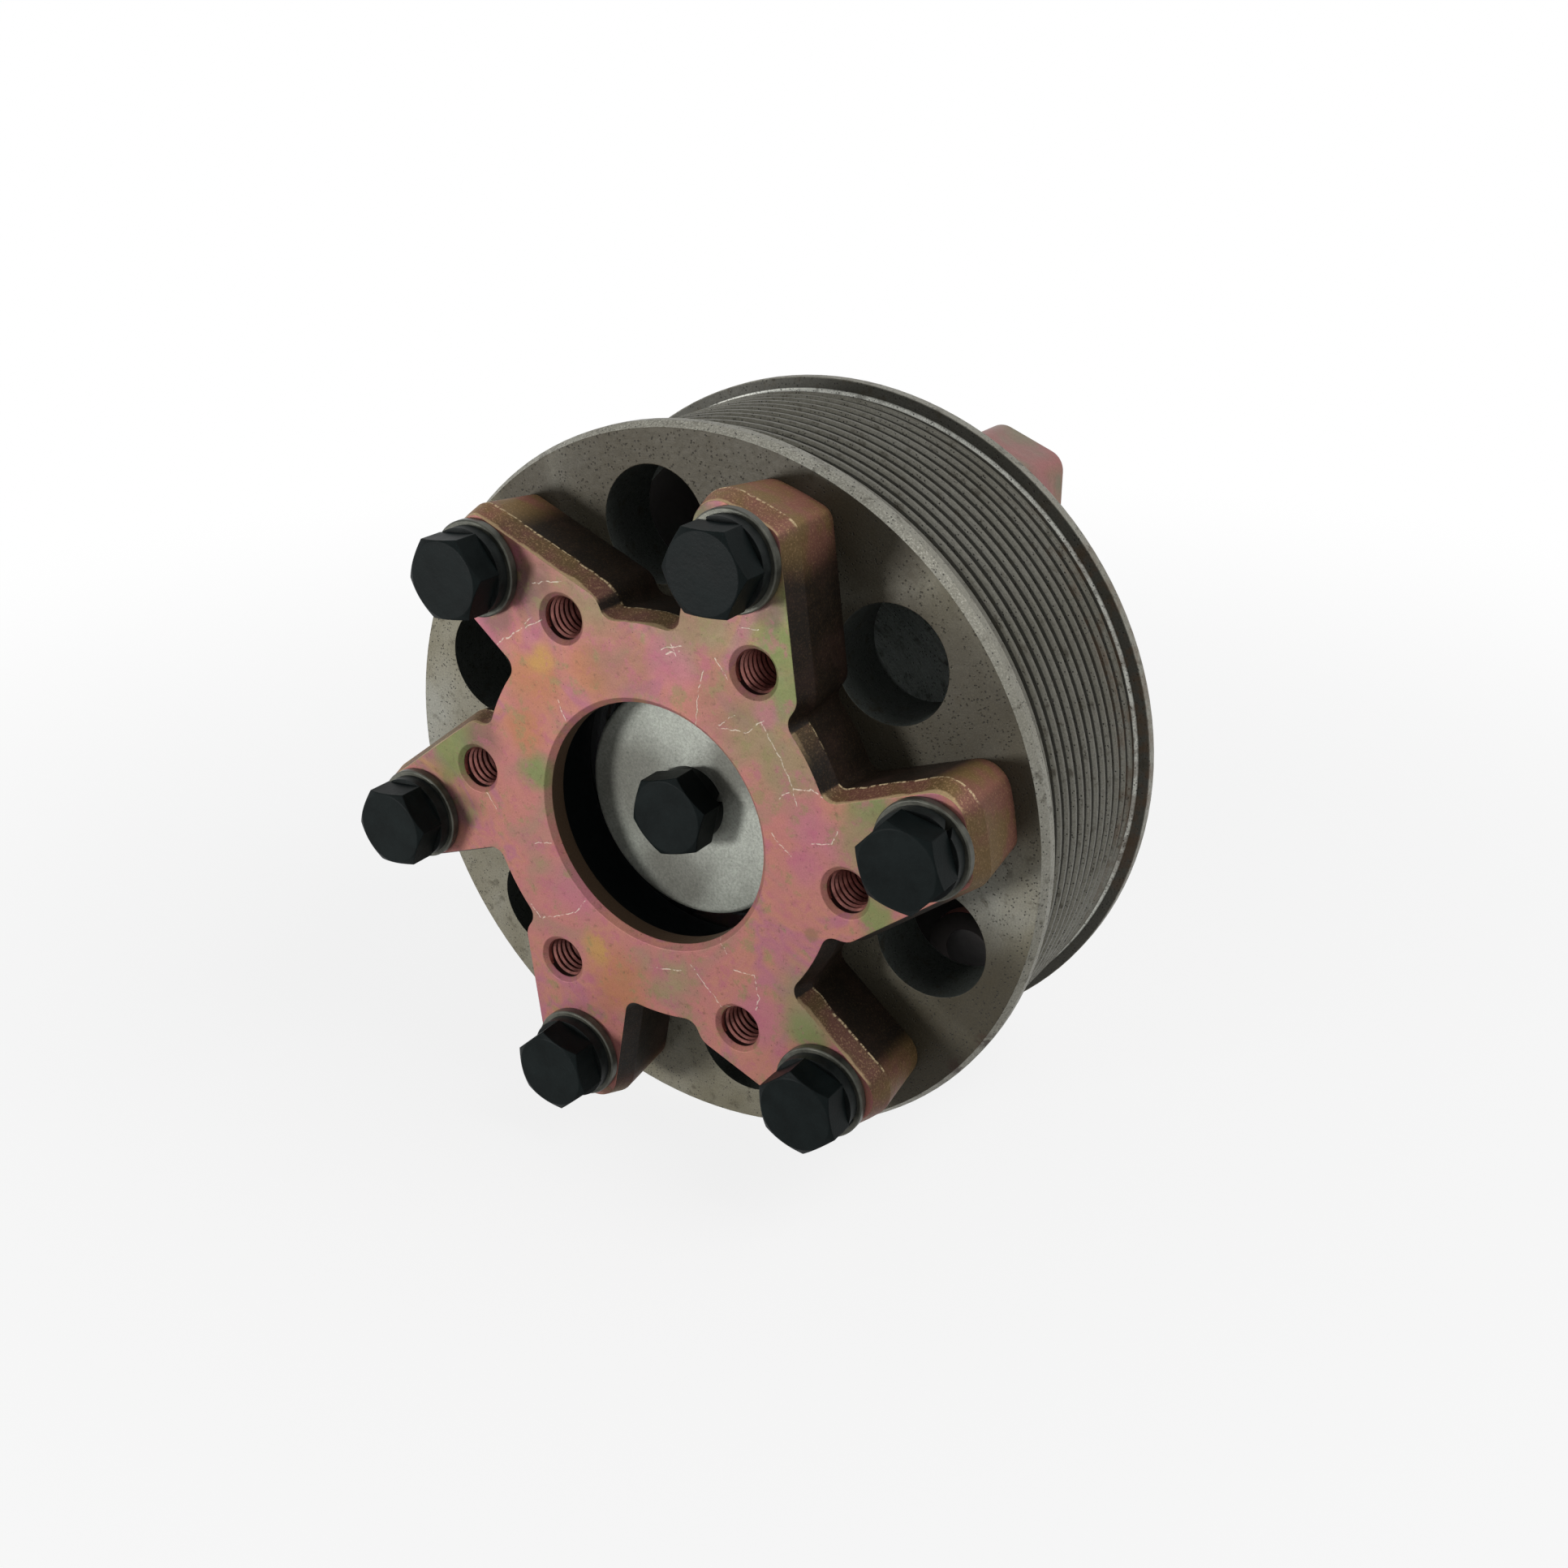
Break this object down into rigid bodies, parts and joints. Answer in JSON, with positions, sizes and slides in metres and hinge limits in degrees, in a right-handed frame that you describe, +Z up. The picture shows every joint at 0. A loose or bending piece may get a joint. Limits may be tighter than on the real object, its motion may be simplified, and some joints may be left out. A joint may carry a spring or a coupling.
{
  "type": "fan pulley",
  "caption": "Grooved drive pulley on a fixed spindle, with a star-shaped fan adapter bolted to its face and an eared bracket behind.",
  "frame": {"origin": "on the spindle axis, in the plane of the bracket's rear mounting face", "axes": "+Y along the spindle axis from the fan side to the engine side, +Z up, +X to the right as seen from the fan side"},
  "size_m": [0.155, 0.1019, 0.155],
  "materials": {
    "pulley_iron": "turned and lightly speckled",
    "chromate_steel": "iridescent zinc chromate plate",
    "bracket_steel": "iridescent zinc chromate plate",
    "black_bolt_steel": "black oxide",
    "spring_steel": "dark spring steel",
    "plain_washer_steel": "plain steel",
    "retainer_steel": "fine blasted steel",
    "seal_rubber": "matt black",
    "cage_plastic": "natural nylon",
    "bearing_steel": "ground and polished",
    "spindle_steel": "ground steel"
  },
  "bodies": {
    "mount": {"centre_bolt": "black_bolt_steel", "centre_lock_washer": "spring_steel", "front_bearing_inner_ring": "bearing_steel", "inner_spacer": "spindle_steel", "mounting_bracket": "bracket_steel", "rear_bearing_inner_ring": "bearing_steel", "retaining_washer": "retainer_steel", "spindle": "spindle_steel"},
    "pulley": {"adapter_bolt_1": "black_bolt_steel", "adapter_bolt_2": "black_bolt_steel", "adapter_bolt_3": "black_bolt_steel", "adapter_bolt_4": "black_bolt_steel", "adapter_bolt_5": "black_bolt_steel", "adapter_bolt_6": "black_bolt_steel", "fan_adapter": "chromate_steel", "flat_washer_1": "plain_washer_steel", "flat_washer_2": "plain_washer_steel", "flat_washer_3": "plain_washer_steel", "flat_washer_4": "plain_washer_steel", "flat_washer_5": "plain_washer_steel", "flat_washer_6": "plain_washer_steel", "front_bearing_front_seal": "seal_rubber", "front_bearing_outer_ring": "bearing_steel", "front_bearing_rear_seal": "seal_rubber", "lock_washer_1": "spring_steel", "lock_washer_2": "spring_steel", "lock_washer_3": "spring_steel", "lock_washer_4": "spring_steel", "lock_washer_5": "spring_steel", "lock_washer_6": "spring_steel", "outer_spacer": "spindle_steel", "pulley": "pulley_iron", "rear_bearing_front_seal": "seal_rubber", "rear_bearing_outer_ring": "bearing_steel", "rear_bearing_rear_seal": "seal_rubber", "snap_ring": "spring_steel"},
    "front_ball_set": {"front_bearing_ball_1": "bearing_steel", "front_bearing_ball_2": "bearing_steel", "front_bearing_ball_3": "bearing_steel", "front_bearing_ball_4": "bearing_steel", "front_bearing_ball_5": "bearing_steel", "front_bearing_ball_6": "bearing_steel", "front_bearing_ball_7": "bearing_steel", "front_bearing_ball_8": "bearing_steel", "front_bearing_cage": "cage_plastic"},
    "rear_ball_set": {"rear_bearing_ball_1": "bearing_steel", "rear_bearing_ball_2": "bearing_steel", "rear_bearing_ball_3": "bearing_steel", "rear_bearing_ball_4": "bearing_steel", "rear_bearing_ball_5": "bearing_steel", "rear_bearing_ball_6": "bearing_steel", "rear_bearing_ball_7": "bearing_steel", "rear_bearing_ball_8": "bearing_steel", "rear_bearing_cage": "cage_plastic"}
  },
  "joints": [
    {"name": "pulley_spin", "type": "hinge", "parent": "mount", "child": "pulley", "pos_m": [0, -0.0446, 0], "axis": [0, -1, 0], "continuous": true},
    {"name": "front_ball_set_spin", "type": "hinge", "parent": "mount", "child": "front_ball_set", "pos_m": [0, -0.0565, 0], "axis": [0, -1, 0], "continuous": true},
    {"name": "rear_ball_set_spin", "type": "hinge", "parent": "mount", "child": "rear_ball_set", "pos_m": [0, -0.032, 0], "axis": [0, -1, 0], "continuous": true}
  ],
  "couplings": [
    {"joint": "front_ball_set_spin", "follows": "pulley_spin", "ratio": 0.6206},
    {"joint": "rear_ball_set_spin", "follows": "pulley_spin", "ratio": 0.6206}
  ]
}
